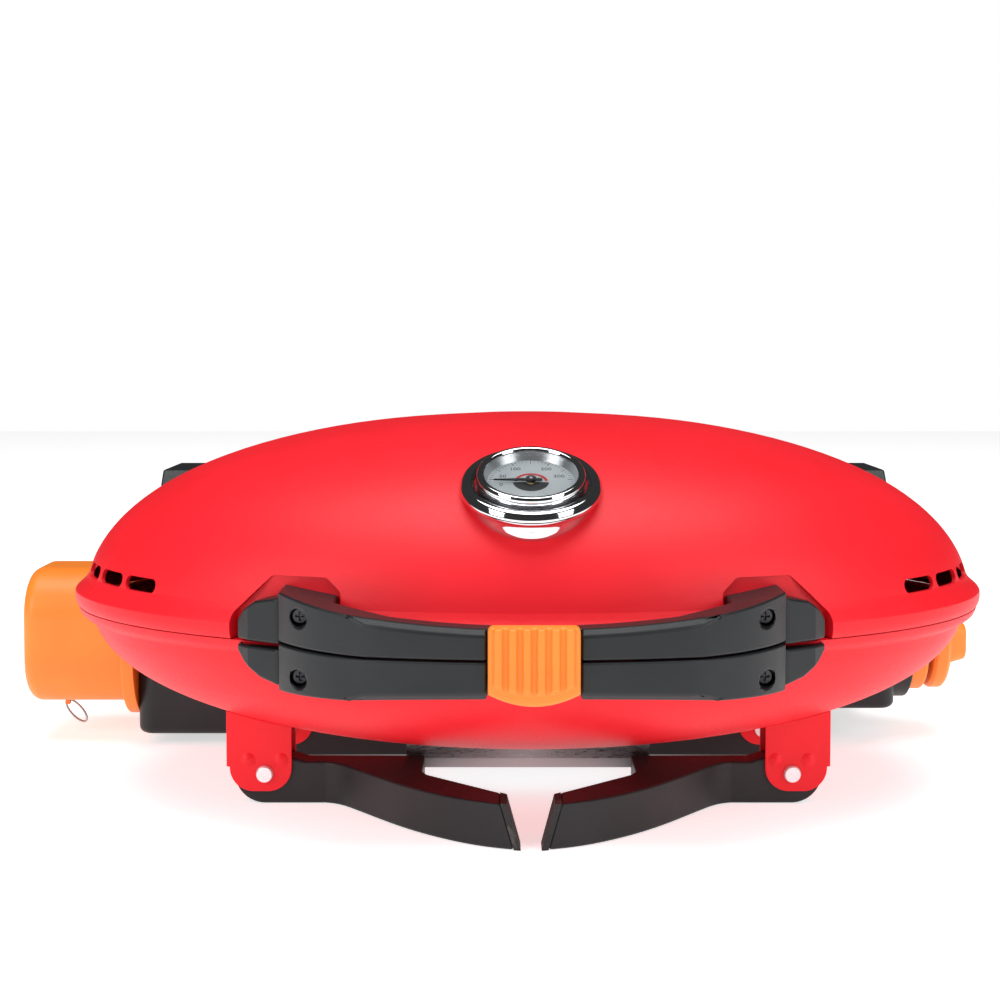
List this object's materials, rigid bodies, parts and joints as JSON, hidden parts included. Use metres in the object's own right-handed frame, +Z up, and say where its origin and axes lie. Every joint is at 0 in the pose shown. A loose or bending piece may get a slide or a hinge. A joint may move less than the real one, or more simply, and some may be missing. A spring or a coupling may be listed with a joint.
{
  "type": "gas barbecue grill",
  "caption": "Portable oval clamshell gas grill with folding legs, a latched front carry handle, a lid thermometer, a gas cartridge cap and a control knob.",
  "frame": {"origin": "on the table, under the centre of the oval firebox", "axes": "+X to the grill's right (knob side), +Y to the back (hinge side), +Z up"},
  "size_m": [0.6835, 0.4801, 0.2436],
  "materials": {
    "red_enamel": "satin powder coat",
    "black_plastic": "fine grained, slightly glossy",
    "orange_plastic": "satin",
    "black_paint": "satin",
    "dark_steel": "blackened",
    "steel": "satin",
    "rivet_zinc": "bright zinc",
    "chrome": "polished",
    "dial_face": "silver printed",
    "needle_black": "satin",
    "clear_glass": "clear",
    "cast_iron": "matt enamelled",
    "aluminium_sheet": "mill finish",
    "brass": "machined",
    "ceramic": "glazed",
    "wire_sleeve": "smooth",
    "black_rubber": "moulded"
  },
  "bodies": {
    "base": {"base_bowl": "red_enamel", "cooking_grate_left": "cast_iron", "cooking_grate_right": "cast_iron", "grate_rests": "steel", "burner_tube": "steel", "burner_brackets": "steel", "igniter_insulator": "ceramic", "igniter_pin": "steel", "ignition_wire": "wire_sleeve", "tray_rails": "steel", "base_handle": "black_plastic", "base_handle_wings": "black_plastic", "base_handle_screws": "dark_steel", "latch_pin": "steel", "latch_spring": "steel", "base_hinge_leaves": "black_paint", "hinge_pins": "steel", "base_hinge_screws": "steel", "left_housing": "black_plastic", "right_housing": "black_plastic", "left_stand": "black_plastic", "right_stand": "black_plastic", "rear_beam": "black_plastic", "regulator_body": "brass", "cartridge_flange": "orange_plastic", "gas_pipe": "steel", "valve_body": "brass", "knob_collar": "orange_plastic", "leg_rivets": "rivet_zinc", "leg_bracket_front_left": "red_enamel", "leg_bracket_front_right": "red_enamel", "leg_bracket_rear_left": "red_enamel", "leg_bracket_rear_right": "red_enamel"},
    "lid": {"lid_shell": "red_enamel", "lid_handle": "black_plastic", "lid_handle_wings": "black_plastic", "lid_handle_screws": "dark_steel", "thermometer_ring": "chrome", "thermometer_bezel": "chrome", "thermometer_case": "steel", "thermometer_dial": "dial_face", "thermometer_lens": "clear_glass", "thermometer_nut": "steel", "lid_hinge_leaves": "black_paint", "lid_hinge_screws": "steel"},
    "latch": {"latch": "orange_plastic"},
    "needle": {"thermometer_needle": "needle_black"},
    "tray": {"drip_tray": "aluminium_sheet"},
    "cap": {"cartridge_cap": "orange_plastic"},
    "cap_loop": {"cap_wire_loop": "steel"},
    "knob_push": {"valve_stem": "steel"},
    "knob": {"control_knob": "orange_plastic"},
    "leg_front_left": {"leg_front_left": "black_plastic", "foot_pad_front_left": "black_rubber"},
    "leg_front_right": {"leg_front_right": "black_plastic", "foot_pad_front_right": "black_rubber"},
    "leg_rear_left": {"leg_rear_left": "black_plastic", "foot_pad_rear_left": "black_rubber"},
    "leg_rear_right": {"leg_rear_right": "black_plastic", "foot_pad_rear_right": "black_rubber"}
  },
  "joints": [
    {"name": "lid_hinge", "type": "hinge", "parent": "base", "child": "lid", "pos_m": [0, 0.212, 0.125], "axis": [-1, 0, 0], "range_deg": [0, 95]},
    {"name": "latch_rock", "type": "hinge", "parent": "base", "child": "latch", "pos_m": [0, -0.24, 0.113], "axis": [1, 0, 0], "range_deg": [0, 22], "stiffness_Nm_per_rad": 0.3},
    {"name": "needle_turn", "type": "hinge", "parent": "lid", "child": "needle", "pos_m": [0, -0.15, 0.20671], "axis": [0, 0.4226, -0.9063], "range_deg": [0, 180]},
    {"name": "tray_slide", "type": "slide", "parent": "base", "child": "tray", "axis": [1, 0, 0], "range_m": [0, 0.15]},
    {"name": "cap_slide", "type": "slide", "parent": "base", "child": "cap", "axis": [-1, 0, 0], "range_m": [0, 0.15]},
    {"name": "cap_loop_swing", "type": "hinge", "parent": "cap", "child": "cap_loop", "pos_m": [-0.34, 0.128, 0.0218], "axis": [0, 1, 0], "range_deg": [-40, 40]},
    {"name": "knob_push", "type": "slide", "parent": "base", "child": "knob_push", "axis": [-1, 0, 0], "range_m": [0, 0.003], "stiffness_N_per_m": 1200},
    {"name": "knob_turn", "type": "hinge", "parent": "knob_push", "child": "knob", "pos_m": [0.3, 0.128, 0.071], "axis": [1, 0, 0], "range_deg": [0, 200]},
    {"name": "front_left_leg_fold", "type": "hinge", "parent": "base", "child": "leg_front_left", "pos_m": [-0.166, -0.061, 0.0195], "axis": [0, 1, 0], "range_deg": [0, 106.5]},
    {"name": "front_right_leg_fold", "type": "hinge", "parent": "base", "child": "leg_front_right", "pos_m": [0.166, -0.061, 0.0195], "axis": [0, -1, 0], "range_deg": [0, 106.5]},
    {"name": "rear_left_leg_fold", "type": "hinge", "parent": "base", "child": "leg_rear_left", "pos_m": [-0.166, 0.061, 0.0195], "axis": [0, 1, 0], "range_deg": [0, 106.5]},
    {"name": "rear_right_leg_fold", "type": "hinge", "parent": "base", "child": "leg_rear_right", "pos_m": [0.166, 0.061, 0.0195], "axis": [0, -1, 0], "range_deg": [0, 106.5]}
  ]
}
